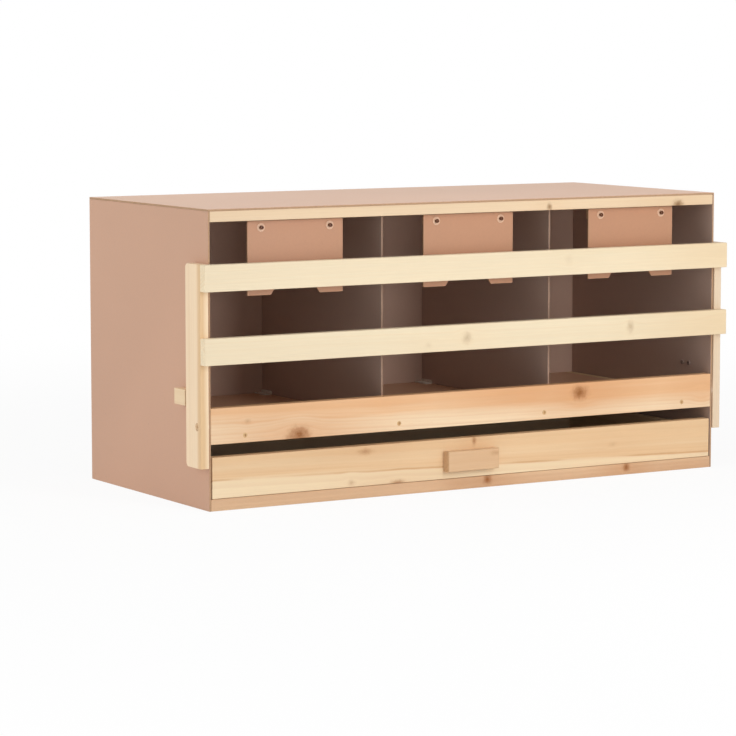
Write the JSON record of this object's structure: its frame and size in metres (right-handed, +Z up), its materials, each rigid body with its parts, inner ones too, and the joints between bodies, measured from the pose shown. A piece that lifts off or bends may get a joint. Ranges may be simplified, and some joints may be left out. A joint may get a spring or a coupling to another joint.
{
  "type": "chicken nesting box",
  "caption": "Long board laying nest for hens with a row of open compartments, hanging flaps, a folding pine perch frame across the front and an egg drawer below.",
  "frame": {"origin": "on the ground, under the middle of the object's bounding box with the perch frame folded up", "axes": "+X to the right seen from the front, +Y to the back, +Z up"},
  "size_m": [0.96, 0.417, 0.45],
  "materials": {
    "brown_board": "matt brown faced board",
    "pine": "bare planed pine with knots",
    "dark_steel": "dark phosphated screws",
    "brown_lacquer": "brown lacquered steel",
    "bright_zinc": "bright zinc"
  },
  "bodies": {
    "casing": {"back_panel": "brown_board", "bottom_back_rail": "pine", "bottom_front_rail": "pine", "divider_brackets": "bright_zinc", "flap_screws": "dark_steel", "floor_back_batten": "pine", "floor_front_batten": "pine", "front_sill": "pine", "left_divider": "brown_board", "left_drawer_runner": "pine", "left_flap_block": "pine", "left_floor_cleat": "pine", "left_perch_stop": "pine", "left_pivot_screw": "dark_steel", "left_pivot_washer": "bright_zinc", "left_side_panel": "brown_board", "middle_drawer_runner": "pine", "middle_flap_block": "pine", "nest_floor": "brown_board", "panel_brads": "brown_lacquer", "perch_stop_screws": "dark_steel", "right_divider": "brown_board", "right_drawer_runner": "pine", "right_flap_block": "pine", "right_floor_cleat": "pine", "right_perch_stop": "pine", "right_pivot_screw": "dark_steel", "right_pivot_washer": "bright_zinc", "right_side_panel": "brown_board", "sill_screws": "dark_steel", "top_back_batten": "pine", "top_front_rail": "pine", "top_panel": "brown_board"},
    "perch_frame": {"left_perch_arm": "pine", "right_perch_arm": "pine", "upper_perch_bar": "pine", "lower_perch_bar": "pine", "perch_dowels": "pine"},
    "egg_drawer": {"drawer_front": "pine", "left_drawer_side": "pine", "right_drawer_side": "pine", "drawer_back": "pine", "drawer_bottom": "brown_board", "drawer_handle": "pine", "handle_screws": "dark_steel", "drawer_dowels": "pine"},
    "left_curtain": {"left_flap": "brown_board", "left_flap_eyelets": "brown_lacquer"},
    "middle_curtain": {"middle_flap": "brown_board", "middle_flap_eyelets": "brown_lacquer"},
    "right_curtain": {"right_flap": "brown_board", "right_flap_eyelets": "brown_lacquer"}
  },
  "joints": [
    {"name": "perch_fold", "type": "hinge", "parent": "casing", "child": "perch_frame", "pos_m": [0, -0.1825, 0.127], "axis": [1, 0, 0], "range_deg": [0, 76.5]},
    {"name": "drawer_slide", "type": "slide", "parent": "casing", "child": "egg_drawer", "axis": [0, -1, 0], "range_m": [0, 0.3]},
    {"name": "left_flap_swing", "type": "hinge", "parent": "casing", "child": "left_curtain", "pos_m": [-0.309, -0.176, 0.4197], "axis": [1, 0, 0], "range_deg": [-10, 25]},
    {"name": "middle_flap_swing", "type": "hinge", "parent": "casing", "child": "middle_curtain", "pos_m": [0, -0.176, 0.4197], "axis": [1, 0, 0], "range_deg": [-10, 25]},
    {"name": "right_flap_swing", "type": "hinge", "parent": "casing", "child": "right_curtain", "pos_m": [0.309, -0.176, 0.4197], "axis": [1, 0, 0], "range_deg": [-10, 25]}
  ]
}
